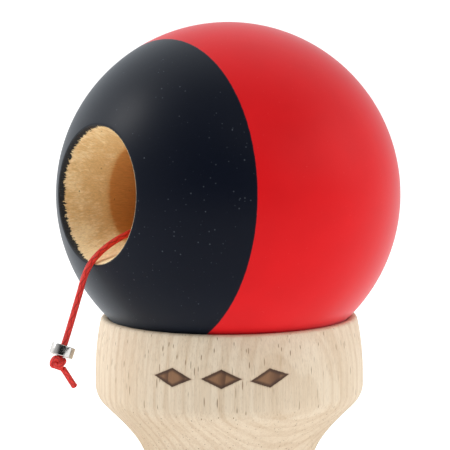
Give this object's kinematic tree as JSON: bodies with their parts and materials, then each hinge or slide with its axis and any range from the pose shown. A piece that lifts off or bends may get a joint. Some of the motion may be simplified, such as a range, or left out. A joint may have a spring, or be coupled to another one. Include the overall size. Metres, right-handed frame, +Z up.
{
  "type": "kendama",
  "caption": "Turned beech cup-and-ball toy standing on its small cup, with a painted bored ball resting in the big cup and its string hanging out over the bore's lip",
  "frame": {"origin": "on the surface that the small cup's rim stands on, under the middle of the wooden pieces' box", "axes": "+Z up along the cross-piece, +X along the handle piece towards the spike's tip, +Y away from the side that the ball's bore faces"},
  "size_m": [0.161, 0.06, 0.1212],
  "materials": {
    "beech": "bare sanded beech",
    "ball_paint": "soft matte navy paint on beech, with the half away from the bore in satin red",
    "cord": "braided nylon",
    "bearing_steel": "polished",
    "cage_brass": "stamped"
  },
  "bodies": {
    "cross_piece": {"cross_piece": "beech", "string_exit_run": "cord", "string_winding": "cord", "string_back_run": "cord"},
    "handle": {"handle_and_spike": "beech", "string_in_handle": "cord", "string_anchor_knot": "cord"},
    "string_end": {"string_front_run": "cord", "string_end_knot": "cord", "string_tail": "cord", "bearing_inner_ring": "bearing_steel"},
    "ball": {"ball": "ball_paint"},
    "bearing_outer": {"bearing_outer_ring": "bearing_steel", "bearing_shield_front": "bearing_steel", "bearing_shield_back": "bearing_steel"},
    "bearing_cage": {"bearing_cage": "cage_brass", "bearing_ball_1": "bearing_steel", "bearing_ball_2": "bearing_steel", "bearing_ball_3": "bearing_steel", "bearing_ball_4": "bearing_steel", "bearing_ball_5": "bearing_steel", "bearing_ball_6": "bearing_steel", "bearing_ball_7": "bearing_steel"}
  },
  "joints": [
    {"name": "handle_pull", "type": "slide", "parent": "cross_piece", "child": "handle", "axis": [-1, 0, 0], "range_m": [0, 0.086]},
    {"name": "ball_lift", "type": "slide", "parent": "cross_piece", "child": "string_end", "axis": [0, 0, 1], "range_m": [0, 0.04]},
    {"name": "ball_spin", "type": "hinge", "parent": "string_end", "child": "ball", "pos_m": [0.0145, 0, 0.09124], "axis": [-0.796, -0.6026, 0.0574], "continuous": true},
    {"name": "bearing_spin", "type": "hinge", "parent": "string_end", "child": "bearing_outer", "pos_m": [-0.01309, -0.02089, 0.06737], "axis": [-0.3044, -0.2304, -0.9243], "continuous": true},
    {"name": "bearing_cage_spin", "type": "hinge", "parent": "string_end", "child": "bearing_cage", "pos_m": [-0.01309, -0.02089, 0.06737], "axis": [-0.3044, -0.2304, -0.9243], "continuous": true}
  ],
  "couplings": [
    {"joint": "bearing_cage_spin", "follows": "bearing_spin", "ratio": 0.6136}
  ]
}
